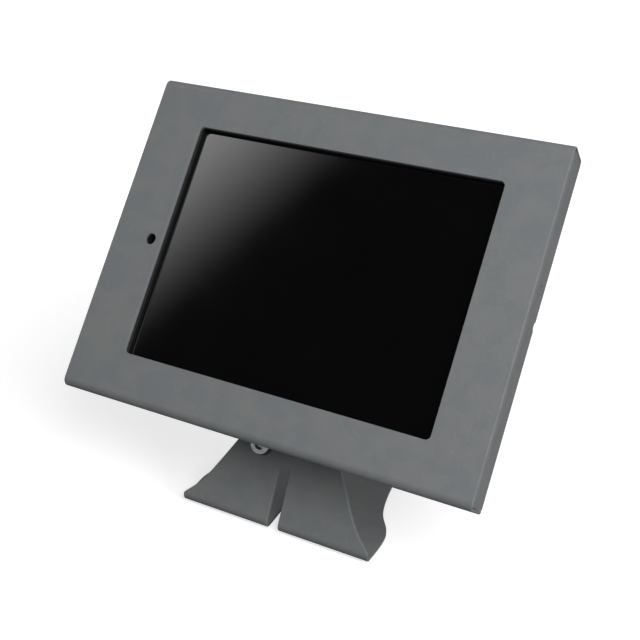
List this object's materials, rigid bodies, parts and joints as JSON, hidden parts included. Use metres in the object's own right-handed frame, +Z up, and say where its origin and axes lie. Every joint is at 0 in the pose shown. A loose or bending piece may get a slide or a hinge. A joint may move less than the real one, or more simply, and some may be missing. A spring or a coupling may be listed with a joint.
{
  "type": "tablet security kiosk stand",
  "caption": "Desktop stand that holds a tablet behind a window frame of coated steel, on a tilting hinge and a bent foot plate with a cable slot and a key lock.",
  "frame": {"origin": "middle of the underside, between the four counter holes", "axes": "+X to the right seen from the front, along the enclosure's width; the screen faces -Y; +Z up"},
  "size_m": [0.268, 0.1566, 0.2397],
  "materials": {
    "powder_coat": "fine textured matt powder coat, graphite grey",
    "plated_steel": "zinc-plated or stainless, satin",
    "lock_chrome": "bright nickel-chrome plate",
    "collar_black": "black moulded",
    "black_rubber": "moulded rubber, matt",
    "black_foam": "closed-cell foam, matt",
    "screen_glass": "black-backed gloss glass",
    "tablet_aluminium": "bead-blasted anodised",
    "camera_lens": "gloss black lens"
  },
  "bodies": {
    "stand": {"stand_plate": "powder_coat", "base_pad": "black_rubber", "hinge_carrier": "powder_coat", "lock_barrel": "lock_chrome", "lock_collar": "collar_black", "lock_nut": "plated_steel", "hinge_bolt": "plated_steel", "hinge_nut": "plated_steel", "friction_washers": "plated_steel"},
    "key_plug": {"lock_plug": "lock_chrome", "lock_cam": "plated_steel", "cam_screw": "plated_steel"},
    "enclosure": {"front_shell": "powder_coat", "left_end_plate": "powder_coat", "rear_cover": "powder_coat", "cover_posts": "plated_steel", "cover_screws": "plated_steel", "window_gasket": "black_rubber", "tablet_glass": "screen_glass", "tablet_case": "tablet_aluminium", "tablet_camera": "camera_lens", "tablet_rails": "black_foam", "end_stop": "black_foam", "back_pads": "black_foam", "hinge_bracket": "powder_coat", "bracket_screws": "plated_steel", "bracket_nuts": "plated_steel", "cable_grommet": "black_rubber", "door_catch": "plated_steel", "catch_rivet": "plated_steel", "door_pins": "plated_steel"},
    "door": {"side_door": "powder_coat", "door_pads": "black_foam"}
  },
  "joints": [
    {"name": "enclosure_tilt", "type": "hinge", "parent": "stand", "child": "enclosure", "pos_m": [0, 0.00152, 0.13812], "axis": [1, 0, 0], "range_deg": [-20, 12]},
    {"name": "door_swing", "type": "hinge", "parent": "enclosure", "child": "door", "pos_m": [0.131, -0.01644, 0.16055], "axis": [0, -0.66, -0.7513], "range_deg": [0, 90]},
    {"name": "lock_turn", "type": "hinge", "parent": "stand", "child": "key_plug", "pos_m": [-0.0187, -0.04226, 0.04741], "axis": [0, 0.8572, -0.515], "range_deg": [0, 90]}
  ]
}
